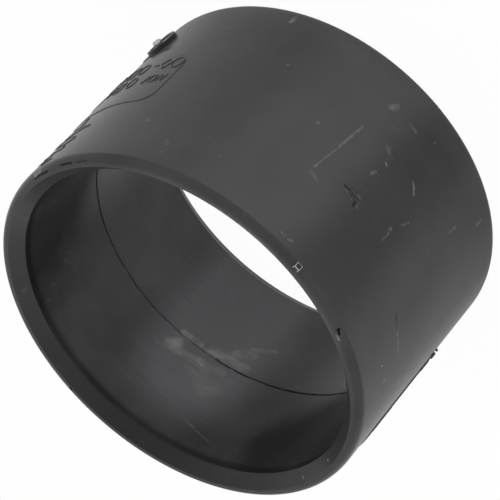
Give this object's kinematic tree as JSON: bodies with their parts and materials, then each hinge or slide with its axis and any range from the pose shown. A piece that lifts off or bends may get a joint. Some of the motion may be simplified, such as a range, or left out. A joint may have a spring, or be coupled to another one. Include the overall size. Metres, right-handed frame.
{
  "type": "drain pipe coupling",
  "caption": "Short black ABS sleeve with a tapered socket in each end, for joining two lengths of drain pipe end to end.",
  "frame": {"origin": "middle of the lower rim, on the axis of the bore", "axes": "+Z along the bore; the gate is at +X and the mould parted in the YZ plane"},
  "size_m": [0.0559, 0.0544, 0.0355],
  "materials": {
    "black_abs": "injection-moulded black ABS, satin, with fine scuffs"
  },
  "bodies": {
    "root": {"coupling_body": "black_abs"}
  },
  "joints": []
}
